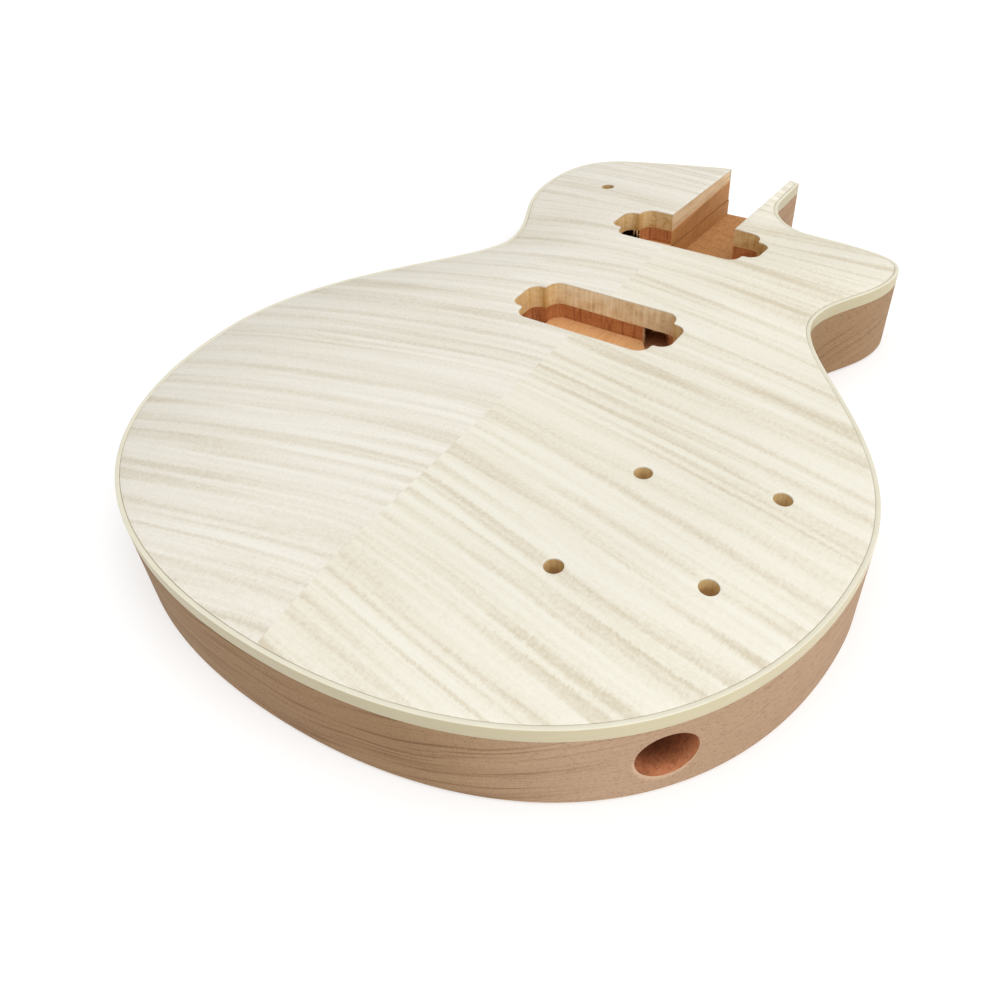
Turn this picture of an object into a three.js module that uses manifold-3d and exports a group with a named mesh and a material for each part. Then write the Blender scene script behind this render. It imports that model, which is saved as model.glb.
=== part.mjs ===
// A bare single-cutaway electric guitar body: a mahogany back, a bookmatched maple cap carved to a
// low arch, a bookmatched flame veneer over it and a plastic binding strip along the top edge.
// Millimetres, +Z up. +Y points to the neck and +X to the treble side. The origin is the middle of
// the back's underside.
import * as THREE from 'three';
import { mergeVertices } from 'three/addons/utils/BufferGeometryUtils.js';
import Module from 'manifold-3d';

// Overall sizes
const body_length = 438;
const body_width = 329;
const back_thickness = 37.5;
const back_edge_radius = 2;

// Arched top
const crown_rise = 6;
const carve_width = 55;
const carve_cell = 10.5;
const veneer_thickness = 0.6;
const glue_gap = 0.3;

// The veneer's seam slants a little: its place on the X axis, and how far it is turned
const veneer_seam_x = -1.75;
const veneer_seam_turn = THREE.MathUtils.degToRad(1.33);

// Binding, which is as high as the cap is at its edge. Across the neck end it rises with the top
// as far as this width reaches.
const binding_height = 6.5;
const binding_width = 2;
const binding_rise_width = 120;

// Neck pocket, and the thin tongue of body between it and the cutaway. The pocket's floors and the
// flat that the fingerboard lies on slope alike; their heights are set half way along the pocket.
const pocket_width = 38.6;
const pocket_depth = 17.3;
const tenon_depth = 27;
const tenon_ledge = 0.5;
const neck_flat_rise = 2.9;
const neck_tilt = THREE.MathUtils.degToRad(2.3);
const tongue_width = 5.6;

// Pickup routs, with an ear at each end for the pickup's legs
const bridge_rout_y = 17.2;
const rout_spacing = 101;
const rout_width = 72.5;
const rout_length = 38;
const rout_corner_radius = 6.5;
const rout_depth = 14.6;
const ear_span = 88;
const ear_length = 21.5;
const ear_corner_radius = 6;
const ear_extra_depth = 5;

// Holes for the pots, the switch and the jack
const shaft_hole_radius = 3.8;
const volume_bass_place = [76.3, -76.5];
const volume_treble_place = [127.7, -62];
const tone_bass_place = [73.4, -137.4];
const tone_treble_place = [123.5, -117];
const switch_place = [-73.4, 156.2];
const jack_bore_radius = 11.5;
const jack_bore_length = 46;
const jack_height = 21.2;
const jack_place_share = 0.59;

// Cavities in the back, each with a ledge for its cover, and the wire channel under the cap
const control_wall_radius = 20;
const switch_cavity_radius = 20;
const cover_ledge_width = 4.5;
const cover_ledge_depth = 3;
const channel_width = 12.7;
const channel_depth = 12;
const channel_start = [-60.9, 152];
const channel_aim = [24.4, 36.2];
const channel_end_share = 1.8;

// How finely round shapes are cut, and how far every cutter runs past the wood
const curve_steps = 16;
const hole_sides = 24;
const back_edge_steps = 3;
const overrun = 5;

// Values that follow from the sizes above
const half_length = body_length / 2;
const half_width = body_width / 2;
const rim_height = back_thickness + binding_height;
const top_height = rim_height + crown_rise;
const neck_rout_y = bridge_rout_y + rout_spacing;
const pocket_start_y = neck_rout_y + rout_length / 2;
const pocket_middle_y = (neck_rout_y + half_length) / 2;
const arch_end_y = half_length - 3 * binding_width;
const above_top = top_height + overrun;
const tongue_side = pocket_width / 2 + tongue_width;
const pot_places = [volume_bass_place, volume_treble_place, tone_treble_place, tone_bass_place];

// The outline, anticlockwise from the tail. Each row is one curve: its two handles and its end, as
// shares of the half width and the half length.
const treble_shares = [
  [0.636, -1, 1, -0.754, 1, -0.352],
  [1, -0.007, 0.543, 0.167, 0.543, 0.342],
  [0.543, 0.442, 0.668, 0.499, 0.668, 0.614],
  [0.668, 0.675, 0.62, 0.692, 0.537, 0.704],
  [0.475, 0.713, 0.4, 0.716, 0.34, 0.72],
];
const cutaway_handle_share = [0.25, 0.722];
const tongue_handle_share = 0.79;
const tongue_start_share = 0.877;
const bass_shares = [
  [-0.22, 1, -0.34, 0.966, -0.426, 0.9475],
  [-0.605, 0.91, -0.695, 0.864, -0.695, 0.694],
  [-0.695, 0.53, -0.553, 0.457, -0.553, 0.335],
  [-0.553, 0.204, -1, -0.02, -1, -0.352],
  [-1, -0.754, -0.636, -1, 0, -1],
];

const wasm = await Module();
wasm.setup();

// Turns a closed three.js geometry into a solid that can be cut.
function solid_from(geometry) {
  const bare = geometry.clone();
  bare.deleteAttribute('normal');
  bare.deleteAttribute('uv');
  const merged = mergeVertices(bare);
  const vertProperties = new Float32Array(merged.attributes.position.array);
  const triVerts = new Uint32Array(merged.index.array);
  return new wasm.Manifold(new wasm.Mesh({ numProp: 3, vertProperties, triVerts }));
}

// Turns a solid back into a geometry.
function geometry_from(solid) {
  const { numProp, vertProperties, triVerts } = solid.getMesh();
  const geometry = new THREE.BufferGeometry();
  geometry.setAttribute('position', new THREE.BufferAttribute(vertProperties, numProp));
  geometry.setIndex(new THREE.BufferAttribute(triVerts, 1));
  geometry.computeVertexNormals();
  return geometry;
}

// An upright prism over an outline, between two heights.
function prism(points, bottom, top) {
  const shape = new THREE.Shape(points);
  const geometry = new THREE.ExtrudeGeometry(shape, { depth: top - bottom, bevelEnabled: false });
  return solid_from(geometry.translate(0, 0, bottom));
}

// A box given by its centre in X and Y, its sides and its two heights.
function block(x, y, width, length, bottom, top) {
  const geometry = new THREE.BoxGeometry(width, length, top - bottom);
  return solid_from(geometry.translate(x, y, (bottom + top) / 2));
}

// An upright round hole.
function round_hole([x, y], radius, bottom, top) {
  const geometry = new THREE.CylinderGeometry(radius, radius, top - bottom, hole_sides);
  geometry.rotateX(Math.PI / 2);
  return solid_from(geometry.translate(x, y, (bottom + top) / 2));
}

function join(solids) {
  return solids.reduce((joined, solid) => joined.add(solid));
}

function add_curves(path, shares) {
  for (const [x1, y1, x2, y2, x, y] of shares) {
    path.bezierCurveTo(
      x1 * half_width, y1 * half_length,
      x2 * half_width, y2 * half_length,
      x * half_width, y * half_length,
    );
  }
}

// The body's outline, which runs straight across the neck pocket.
function outline_path() {
  const path = new THREE.Path();
  path.moveTo(0, -half_length);
  add_curves(path, treble_shares);
  const [handle_x, handle_y] = cutaway_handle_share;
  path.bezierCurveTo(
    handle_x * half_width, handle_y * half_length,
    tongue_side, tongue_handle_share * half_length,
    tongue_side, tongue_start_share * half_length,
  );
  path.lineTo(tongue_side, half_length);
  path.lineTo(-pocket_width / 2, half_length);
  add_curves(path, bass_shares);
  return path;
}

// The corners of the outline, without the last one, which repeats the first.
function outline_points(path) {
  return path.getPoints(curve_steps).slice(0, -1);
}

// The outline moved inwards by the same distance all round.
function inset_outline(points, distance) {
  return points.map((point, index) => {
    const before = points[(index + points.length - 1) % points.length];
    const after = points[(index + 1) % points.length];
    const arriving = point.clone().sub(before).normalize();
    const leaving = after.clone().sub(point).normalize();
    const inward = new THREE.Vector2(-arriving.y - leaving.y, arriving.x + leaving.x).normalize();
    const lean = inward.dot(new THREE.Vector2(-arriving.y, arriving.x));
    return point.clone().addScaledVector(inward, distance / lean);
  });
}

// How far a place is inside the outline; outside it the distance is negative.
function distance_inside(points, x, y) {
  let nearest = Infinity;
  let inside = false;
  points.forEach((start, index) => {
    const end = points[(index + 1) % points.length];
    const side = end.clone().sub(start);
    const offset = new THREE.Vector2(x, y).sub(start);
    const share = THREE.MathUtils.clamp(offset.dot(side) / side.lengthSq(), 0, 1);
    nearest = Math.min(nearest, offset.addScaledVector(side, -share).length());
    if (start.y > y !== end.y > y) {
      const crossing = start.x + ((y - start.y) / side.y) * side.x;
      if (x < crossing) inside = !inside;
    }
  });
  return inside ? nearest : -nearest;
}

// How far a place is from the neck pocket, in plan.
function distance_to_pocket(x, y) {
  const aside = Math.max(Math.abs(x) - pocket_width / 2, 0);
  return Math.hypot(aside, Math.max(pocket_start_y - y, 0));
}

// Height of the arched top. It rises from the binding's inner edge over the carved band, which is
// narrower where the pocket leaves less room, up to the level crown or to the flat for the neck.
// Next to the neck end the height stays as it is where the arch ends.
function arch_height(points, x, y) {
  const inside = distance_inside(points, x, Math.min(y, arch_end_y));
  const room = Math.abs(inside) + distance_to_pocket(x, y);
  const band = THREE.MathUtils.clamp(room, binding_width, carve_width);
  const share = THREE.MathUtils.clamp(inside / band, -1, 1);
  const neck_flat = neck_flat_rise + (pocket_middle_y - y) * Math.tan(neck_tilt);
  return rim_height + Math.min(crown_rise, neck_flat) * Math.sin((share * Math.PI) / 2);
}

// Everything that lies under the arched top, lowered by a depth.
function under_top(points, depth) {
  const width = body_width + 2 * overrun;
  const length = body_length + 2 * overrun;
  const columns = Math.ceil(width / carve_cell);
  const rows = Math.ceil(length / carve_cell);
  const geometry = new THREE.BoxGeometry(width, length, back_thickness, columns, rows, 1);
  const position = geometry.attributes.position;
  for (let index = 0; index < position.count; index += 1) {
    const x = position.getX(index);
    const y = position.getY(index);
    const is_top = position.getZ(index) > 0;
    position.setZ(index, is_top ? arch_height(points, x, y) - depth : 0);
  }
  return solid_from(geometry);
}

function rounded_rectangle(x, y, width, length, radius) {
  const path = new THREE.Path();
  const right = width / 2 - radius;
  const far = length / 2 - radius;
  path.absarc(x + right, y + far, radius, 0, Math.PI / 2, false);
  path.absarc(x - right, y + far, radius, Math.PI / 2, Math.PI, false);
  path.absarc(x - right, y - far, radius, Math.PI, 1.5 * Math.PI, false);
  path.absarc(x + right, y - far, radius, 1.5 * Math.PI, 2 * Math.PI, false);
  return path.getPoints(curve_steps / 4);
}

// A pickup rout: a rounded rectangle, with deeper ears past its two ends.
function pickup_rout(y) {
  const floor = rim_height - rout_depth;
  const main = rounded_rectangle(0, y, rout_width, rout_length, rout_corner_radius);
  const ears = rounded_rectangle(0, y, ear_span, ear_length, ear_corner_radius);
  const ear_floor = floor - ear_extra_depth;
  const between = block(0, y, rout_width, rout_length, ear_floor - overrun, floor);
  return prism(main, floor, above_top).add(prism(ears, ear_floor, above_top).subtract(between));
}

// A slot for the neck, open at the neck end, whose floor falls away towards it.
function neck_slot(width, near_y, depth) {
  const length = half_length + overrun - near_y;
  const height = above_top - rim_height + depth;
  const geometry = new THREE.BoxGeometry(width, length, height);
  const position = geometry.attributes.position;
  for (let index = 0; index < position.count; index += 1) {
    const y = position.getY(index) + near_y + length / 2;
    const floor = rim_height - depth - (y - pocket_middle_y) * Math.tan(neck_tilt);
    position.setY(index, y);
    position.setZ(index, position.getZ(index) > 0 ? above_top : floor);
  }
  return solid_from(geometry);
}

function neck_pocket() {
  const rout_near_y = neck_rout_y - rout_length / 2;
  const heel = neck_slot(pocket_width, neck_rout_y, pocket_depth);
  const tenon = neck_slot(pocket_width - 2 * tenon_ledge, rout_near_y, tenon_depth);
  return heel.add(tenon);
}

// The control cavity's outline, anticlockwise, with a round corner about each pot.
function control_outline(radius) {
  const places = [...pot_places].reverse();
  const path = new THREE.Path();
  places.forEach(([x, y], index) => {
    const [before_x, before_y] = places[(index + places.length - 1) % places.length];
    const [after_x, after_y] = places[(index + 1) % places.length];
    const from = Math.atan2(y - before_y, x - before_x) - Math.PI / 2;
    const to = Math.atan2(after_y - y, after_x - x) - Math.PI / 2;
    path.absarc(x, y, radius, from, to, false);
  });
  return path.getPoints(curve_steps / 2);
}

function control_cavity() {
  const cavity = prism(control_outline(control_wall_radius), -overrun, back_thickness + overrun);
  const cover_radius = control_wall_radius + cover_ledge_width;
  return cavity.add(prism(control_outline(cover_radius), -overrun, cover_ledge_depth));
}

function switch_cavity() {
  const top = back_thickness + overrun;
  const cavity = round_hole(switch_place, switch_cavity_radius, -overrun, top);
  const cover_radius = switch_cavity_radius + cover_ledge_width;
  return cavity.add(round_hole(switch_place, cover_radius, -overrun, cover_ledge_depth));
}

// The wire channel, cut into the back under the cap: from the switch cavity in a straight line
// across both routs to the control cavity.
function wire_channel() {
  const start = new THREE.Vector2(...channel_start);
  const run = new THREE.Vector2(...channel_aim).sub(start).multiplyScalar(channel_end_share);
  const height = channel_depth + overrun;
  const geometry = new THREE.BoxGeometry(run.length(), channel_width, height);
  geometry.rotateZ(run.angle());
  const middle = start.addScaledVector(run, 0.5);
  const z = back_thickness - channel_depth + height / 2;
  return solid_from(geometry.translate(middle.x, middle.y, z));
}

// The jack bore, square to the outline's first curve, from outside the rim into the control cavity.
function jack_bore(path) {
  const [tail_curve] = path.curves;
  const along = tail_curve.getTangent(jack_place_share);
  const inward = new THREE.Vector2(-along.y, along.x);
  const length = jack_bore_length + overrun;
  const radius = jack_bore_radius;
  const geometry = new THREE.CylinderGeometry(radius, radius, length, hole_sides);
  geometry.rotateZ(inward.angle() + Math.PI / 2);
  const middle = tail_curve.getPoint(jack_place_share).addScaledVector(inward, length / 2 - overrun);
  return solid_from(geometry.translate(middle.x, middle.y, jack_height));
}

// The mahogany back, with a rounded lower edge.
function back_solid(path, top_cuts) {
  const shape = new THREE.Shape(outline_points(path));
  const geometry = new THREE.ExtrudeGeometry(shape, {
    depth: back_thickness,
    bevelThickness: back_edge_radius,
    bevelSize: back_edge_radius,
    bevelOffset: -back_edge_radius,
    bevelSegments: back_edge_steps,
  });
  const rounded = solid_from(geometry.translate(0, 0, back_edge_radius));
  const width = body_width + overrun;
  const length = body_length + overrun;
  const board = rounded.intersect(block(0, 0, width, length, 0, back_thickness));
  const back_cuts = join([control_cavity(), switch_cavity(), wire_channel(), jack_bore(path)]);
  return board.subtract(top_cuts).subtract(back_cuts);
}

// The binding: a ring along the edge, level except at the neck end, where it follows the top.
function binding_ring(outline, inner_outline, top) {
  const ring = prism(outline, back_thickness, above_top)
    .subtract(prism(inner_outline, back_thickness - overrun, above_top + overrun));
  const width = body_width + overrun;
  const length = body_length + overrun;
  const level = block(0, 0, width, length, back_thickness - overrun, rim_height);
  const end_length = 3 * binding_width;
  const neck_end = block(0, half_length, binding_rise_width, end_length, rim_height - 1, above_top);
  return ring.intersect(level.add(top.intersect(neck_end)));
}

// Everything to one side of a seam, which crosses the X axis at seam_x and leans by turn.
function seam_side(side, seam_x, turn) {
  const width = body_width;
  const geometry = new THREE.BoxGeometry(width, 2 * body_length, above_top + overrun);
  geometry.translate((side * width) / 2, 0, (above_top - overrun) / 2);
  return solid_from(geometry.rotateZ(turn).translate(seam_x, 0, 0));
}

// Splits a solid along a seam.
function halves(solid, seam_x, turn) {
  const bass_side = seam_side(-1, seam_x, turn);
  const treble_side = seam_side(1, seam_x, turn);
  return [solid.intersect(bass_side), solid.intersect(treble_side)];
}

function named_mesh(name, solid, colour, roughness) {
  const material = new THREE.MeshStandardMaterial({ color: colour, roughness, metalness: 0 });
  const mesh = new THREE.Mesh(geometry_from(solid), material);
  mesh.name = name;
  return mesh;
}

function guitar_body() {
  const path = outline_path();
  const outline = outline_points(path);
  const shaft_holes = [...pot_places, switch_place].map((place) =>
    round_hole(place, shaft_hole_radius, back_thickness - overrun, above_top));
  const openings = join([pickup_rout(bridge_rout_y), pickup_rout(neck_rout_y), neck_pocket()]);
  const top_cuts = join([openings, ...shaft_holes]);

  const inner_outline = inset_outline(outline, binding_width);
  const wood_outline = inset_outline(outline, binding_width + glue_gap);
  const over_back = prism(wood_outline, back_thickness, above_top);
  const top = under_top(inner_outline, 0);
  const veneer_under = under_top(inner_outline, veneer_thickness);
  const cap_top = under_top(inner_outline, veneer_thickness + glue_gap);

  const ring = binding_ring(outline, inner_outline, top);
  const cap = over_back.intersect(cap_top).subtract(top_cuts);
  const veneer = over_back.intersect(top).subtract(veneer_under).subtract(top_cuts);
  const binding = ring.subtract(openings);

  const [cap_bass, cap_treble] = halves(cap, 0, 0);
  const [veneer_bass, veneer_treble] = halves(veneer, veneer_seam_x, veneer_seam_turn);
  const [binding_bass, binding_treble] = halves(binding, 0, 0);

  const body = new THREE.Group();
  body.name = 'guitar_body';
  body.add(named_mesh('back', back_solid(path, openings), 0xa5876b, 0.72));
  body.add(named_mesh('cap_bass', cap_bass, 0xc8a47a, 0.7));
  body.add(named_mesh('cap_treble', cap_treble, 0xc8a47a, 0.7));
  body.add(named_mesh('veneer_bass', veneer_bass, 0xf2ebd9, 0.55));
  body.add(named_mesh('veneer_treble', veneer_treble, 0xf5eedc, 0.55));
  body.add(named_mesh('binding_bass', binding_bass, 0xe4dfc0, 0.4));
  body.add(named_mesh('binding_treble', binding_treble, 0xe4dfc0, 0.4));
  return body;
}

export default guitar_body();
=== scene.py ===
import math

import bpy
import numpy as np
from mathutils import Matrix, Vector
from mathutils.geometry import delaunay_2d_cdt


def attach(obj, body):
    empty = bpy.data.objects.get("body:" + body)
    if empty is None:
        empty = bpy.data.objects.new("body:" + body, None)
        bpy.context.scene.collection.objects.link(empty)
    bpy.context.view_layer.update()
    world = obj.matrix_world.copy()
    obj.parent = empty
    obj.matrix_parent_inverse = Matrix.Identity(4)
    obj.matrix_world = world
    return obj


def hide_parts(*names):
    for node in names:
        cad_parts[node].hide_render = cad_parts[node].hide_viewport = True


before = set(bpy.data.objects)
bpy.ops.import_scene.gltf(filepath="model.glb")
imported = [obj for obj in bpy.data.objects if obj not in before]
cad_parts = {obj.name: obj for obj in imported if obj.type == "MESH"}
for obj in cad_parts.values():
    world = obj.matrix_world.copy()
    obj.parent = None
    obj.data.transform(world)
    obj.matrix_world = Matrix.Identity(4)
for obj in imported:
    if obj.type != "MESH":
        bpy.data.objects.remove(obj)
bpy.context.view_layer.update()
scene = bpy.context.scene
MM = 0.001

# Sizes of the CAD source
HALF_LENGTH = 219.0
HALF_WIDTH = 164.5
BACK_TOP = 37.5
BACK_EDGE = 2.0
RIM_HEIGHT = 44.0
CROWN_RISE = 6.0
CARVE_WIDTH = 55.0
VENEER = 0.6
BINDING_WIDTH = 2.0
BINDING_RISE_HALF = 60.0
POCKET_HALF = 19.3
POCKET_DEPTH = 17.3
TENON_DEPTH = 27.0
TENON_LEDGE = 0.5
NECK_FLAT_RISE = 2.9
NECK_TILT = math.radians(2.3)
TONGUE_SIDE = 24.9
BRIDGE_ROUT_Y = 17.2
NECK_ROUT_Y = 118.2
ROUT_HALF = (36.25, 19.0)
ROUT_CORNER = 6.5
ROUT_FLOOR = 29.4
EAR_HALF = (44.0, 10.75)
EAR_CORNER = 6.0
EAR_FLOOR = 24.4
SHAFT_RADIUS = 3.8
POTS = [(76.3, -76.5), (127.7, -62.0), (123.5, -117.0), (73.4, -137.4)]
SWITCH = (-73.4, 156.2)
JACK_RADIUS = 11.5
JACK_LENGTH = 46.0
JACK_HEIGHT = 21.2
JACK_SHARE = 0.59
CONTROL_RADIUS = 20.0
SWITCH_RADIUS = 20.0
LEDGE_WIDTH = 4.5
LEDGE_DEPTH = 3.0
CHANNEL_WIDTH = 12.7
CHANNEL_DEPTH = 12.0
CHANNEL_START = (-60.9, 152.0)
CHANNEL_AIM = (24.4, 36.2)
CHANNEL_SHARE = 1.8
SEAM_TURN = math.radians(1.33)
SEAM_MOVE = 1.75

# The outline's curves: two handles and an end in each row, as shares of the half sizes
TREBLE_SHARES = [
    (0.636, -1, 1, -0.754, 1, -0.352),
    (1, -0.007, 0.543, 0.167, 0.543, 0.342),
    (0.543, 0.442, 0.668, 0.499, 0.668, 0.614),
    (0.668, 0.675, 0.62, 0.692, 0.537, 0.704),
    (0.475, 0.713, 0.4, 0.716, 0.34, 0.72),
]
CUTAWAY_HANDLE = (0.25, 0.722)
TONGUE_HANDLE = 0.79
TONGUE_START = 0.877
BASS_SHARES = [
    (-0.22, 1, -0.34, 0.966, -0.426, 0.9475),
    (-0.605, 0.91, -0.695, 0.864, -0.695, 0.694),
    (-0.695, 0.53, -0.553, 0.457, -0.553, 0.335),
    (-0.553, 0.204, -1, -0.02, -1, -0.352),
    (-1, -0.754, -0.636, -1, 0, -1),
]

# Values that follow from the sizes above
SIZE = np.array([HALF_WIDTH, HALF_LENGTH])
POCKET_CORNER = (POCKET_HALF, HALF_LENGTH)
ROUT_START_Y = NECK_ROUT_Y - ROUT_HALF[1]
POCKET_START_Y = NECK_ROUT_Y + ROUT_HALF[1]
POCKET_MIDDLE_Y = (NECK_ROUT_Y + HALF_LENGTH) / 2
ARCH_END_Y = HALF_LENGTH - 3 * BINDING_WIDTH
TILT = math.tan(NECK_TILT)

# Fine shapes that only the scene has
EAR_FILLET = 1.5
VENEER_ROUND = 0.15
CAP_LOW_ROUND = 0.15
BINDING_ROUND = 0.4
BINDING_LOW_ROUND = 0.2
BINDING_END = 2.5
BOARD_BEVEL = 0.2
GLUE_LINE = 0.05
GLUE_LINE_MORE = 0.1
GLUE_BASS_X, GLUE_BASS_SPAN = 40.0, 120.0
GLUE_NECK_Y, GLUE_NECK_SPAN = 60.0, 60.0
CAP_GAP = 0.02
ROUND_SHARES = (0.0, 0.13, 0.5, 1.0)
ARCH_BLUR = 3.0
ARCH_KEEP_EDGE = 14.0
ARCH_KEEP_POCKET = 9.0
FIBRE_SEED = 5
FIBRE_WIDTH = 0.35
FIBRE_LEAN = -0.4

# How finely shapes are cut
POINT_STEP = 2.2
LOOP_STEP = 3.0
CURVE_SAMPLES = 200
REPEAT_GAP = 0.02
FIELD_STEP = 2.0
FIELD_MARGIN = 16.0
VENEER_CELL = 3.4
CAP_CELL = 6.0
BINDING_CELL = 3.0
CELL_SHIFT = 0.37
CELL_CLEARANCE = 0.45
SEAM_OVERRUN = 4.0
TONGUE_POINTS = 12
CORNER_STEPS = 10
FILLET_STEPS = 6
POT_STEPS = 12
ROUND_STEPS = 64
EDGE_RINGS = 7
CHUNK = 4000

# How far cutters run past the wood, and the middle of the ears that they cut
CUTTER_LOW = -5.0
CAVITY_TOP = 45.0
CUTTER_HIGH = 60.0
CUTTER_END_Y = 230.0
JACK_CUTTER_OUT = 5.0
EAR_MIDDLE = 38.5


# Plane curves
def bezier(start, handle_a, handle_b, end):
    """Points of one cubic curve, without its end, evenly spaced."""
    start, handle_a, handle_b, end = (np.array(p, float) for p in (start, handle_a, handle_b, end))

    def at(t):
        t = t[:, None]
        return ((1 - t) ** 3 * start + 3 * (1 - t) ** 2 * t * handle_a
                + 3 * (1 - t) * t ** 2 * handle_b + t ** 3 * end)

    samples = np.linspace(0, 1, CURVE_SAMPLES)
    lengths = np.hypot(*np.diff(at(samples), axis=0).T)
    run = np.concatenate([[0], np.cumsum(lengths)])
    count = max(4, int(run[-1] / POINT_STEP))
    return at(np.interp(np.linspace(0, run[-1], count + 1)[:-1], run, samples))


def arc(centre, radius, start, end, steps):
    """Points of an arc, both ends included. The angles are in degrees."""
    angles = np.radians(np.linspace(start, end, steps + 1))
    return np.array(centre) + radius * np.stack([np.cos(angles), np.sin(angles)], 1)


def share_curves(start, rows):
    """Points along several curves given in shares, and where they end."""
    parts, here = [], np.array(start, float)
    for row in rows:
        a, b, end = (np.array(row[i:i + 2]) * SIZE for i in (0, 2, 4))
        parts.append(bezier(here, a, b, end))
        here = end
    return np.concatenate(parts), here


def outline_parts():
    """The outline from the tail to the tongue's tip, and from the bass side of the pocket back."""
    treble, here = share_curves((0, -HALF_LENGTH), TREBLE_SHARES)
    tongue_start = (TONGUE_SIDE, TONGUE_START * HALF_LENGTH)
    cutaway = bezier(here, CUTAWAY_HANDLE * SIZE, (TONGUE_SIDE, TONGUE_HANDLE * HALF_LENGTH),
                     tongue_start)
    side = np.linspace(tongue_start, (TONGUE_SIDE, HALF_LENGTH), TONGUE_POINTS)
    bass, _ = share_curves((-POCKET_HALF, HALF_LENGTH), BASS_SHARES)
    return np.concatenate([treble, cutaway, side]), bass


def offset(points, distance):
    """A closed loop moved to its left, which is inwards for an anticlockwise loop."""
    arriving = points - np.roll(points, 1, 0)
    leaving = np.roll(points, -1, 0) - points
    arriving /= np.linalg.norm(arriving, axis=1)[:, None]
    leaving /= np.linalg.norm(leaving, axis=1)[:, None]
    left = np.stack([-arriving[:, 1] - leaving[:, 1], arriving[:, 0] + leaving[:, 0]], 1)
    left /= np.linalg.norm(left, axis=1)[:, None]
    lean = (left * np.stack([-arriving[:, 1], arriving[:, 0]], 1)).sum(1)
    return points + left * (distance / lean)[:, None]


def in_chunks(check, points):
    """A check of many points, made on some at a time so that its tables stay small."""
    return np.concatenate([check(points[i:i + CHUNK]) for i in range(0, len(points), CHUNK)])


def segment_distance(points, loop):
    """How far each point is from the nearest side of a loop."""
    sides = np.roll(loop, -1, 0) - loop
    squares = (sides ** 2).sum(1)

    def nearest(some):
        ways = some[:, None, :] - loop
        share = np.clip((ways * sides).sum(2) / squares, 0, 1)
        return np.sqrt(((ways - share[..., None] * sides) ** 2).sum(2).min(1))

    return in_chunks(nearest, points)


def is_inside(points, loop):
    """Which points are inside a loop."""
    ax, ay = loop.T
    bx, by = np.roll(loop, -1, 0).T
    rise = np.where(by == ay, 1, by - ay)

    def surrounded(some):
        x, y = some[:, :1], some[:, 1:]
        spans = (ay > y) != (by > y)
        crossing = ax + (y - ay) / rise * (bx - ax)
        return ((spans & (x < crossing)).sum(1) % 2).astype(bool)

    return in_chunks(surrounded, points)


def signed_inside(points, loop):
    """How far inside a loop each point is; outside it the distance is negative."""
    return np.where(is_inside(points, loop), 1, -1) * segment_distance(points, loop)


def quarter_rout(x_sign, y_sign, y):
    """A quarter of a rout's outline: its corner, the little hollow corner and the ear's corner."""
    (a, b), (c, d), r, e, f = ROUT_HALF, EAR_HALF, ROUT_CORNER, EAR_CORNER, EAR_FILLET
    main = arc((a - r, b - r), r, 90, 0, CORNER_STEPS)
    fillet = arc((a + f, d + f), f, 180, 270, FILLET_STEPS)
    ear = arc((c - e, d - e), e, 90, 0, CORNER_STEPS)
    points = np.concatenate([main, fillet, ear]) * (x_sign, y_sign) + (0, y)
    return points if x_sign * y_sign > 0 else points[::-1]


def rout_quarters(y):
    """A rout's four quarters, clockwise."""
    return [quarter_rout(*signs, y) for signs in ((1, 1), (1, -1), (-1, -1), (-1, 1))]


def clean(points):
    """Drops points that repeat the one before."""
    gaps = np.linalg.norm(points - np.roll(points, 1, 0), axis=1)
    return points[gaps > REPEAT_GAP]


def densify(points):
    """Adds points on long sides of a closed loop."""
    parts = []
    for a, b in zip(points, np.roll(points, -1, 0)):
        count = max(1, int(np.linalg.norm(b - a) / LOOP_STEP))
        parts.append(a + (b - a) * np.linspace(0, 1, count + 1)[:-1, None])
    return np.concatenate(parts)


def rout_loop(y):
    """A rout's outline, clockwise, so that its left side is the wood."""
    return clean(np.concatenate(rout_quarters(y)))


def circle_loop(centre, radius, steps=40):
    """A circle, clockwise."""
    return arc(centre, radius, 360, 0, steps)[:-1]


treble_part, bass_part = outline_parts()
outline = clean(np.concatenate([treble_part, [POCKET_CORNER], bass_part]))
inner_outline = offset(outline, BINDING_WIDTH)
corner_index = int(np.argmin(np.linalg.norm(outline - POCKET_CORNER, axis=1)))


def beside_pocket(run):
    """The points of a run that aren't at the neck pocket's open end."""
    return run[(np.abs(run[:, 0]) > POCKET_HALF) | (run[:, 1] < POCKET_START_Y)]


def open_outline(inset):
    """The outline inset by a distance, with the neck pocket and the neck rout let into it."""
    ring = offset(outline, np.broadcast_to(inset, len(outline)))
    treble, bass = beside_pocket(ring[:corner_index]), beside_pocket(ring[corner_index + 1:])
    end_y = HALF_LENGTH - np.max(inset)
    rout = np.concatenate([
        [(POCKET_HALF, end_y), (POCKET_HALF, POCKET_START_Y)],
        *rout_quarters(NECK_ROUT_Y),
        [(-POCKET_HALF, POCKET_START_Y), (-POCKET_HALF, end_y)],
    ])
    return densify(clean(np.concatenate([treble, rout, bass])))


def jack_place():
    """Where the jack bore's middle meets the outline's first curve, and the way inwards."""
    first = TREBLE_SHARES[0]
    points = np.array([(0, -1), first[0:2], first[2:4], first[4:6]]) * SIZE
    t = JACK_SHARE
    place = np.array([(1 - t) ** 3, 3 * (1 - t) ** 2 * t, 3 * (1 - t) * t * t, t ** 3]) @ points
    along = np.array([(1 - t) ** 2, 2 * (1 - t) * t, t * t]) @ np.diff(points, axis=0)
    return place, np.array([-along[1], along[0]]) / np.linalg.norm(along)


# The arched top
def past_pocket(x, y):
    """How far places are from the neck pocket, in plan."""
    return np.hypot(np.maximum(np.abs(x) - POCKET_HALF, 0), np.maximum(POCKET_START_Y - y, 0))


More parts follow.
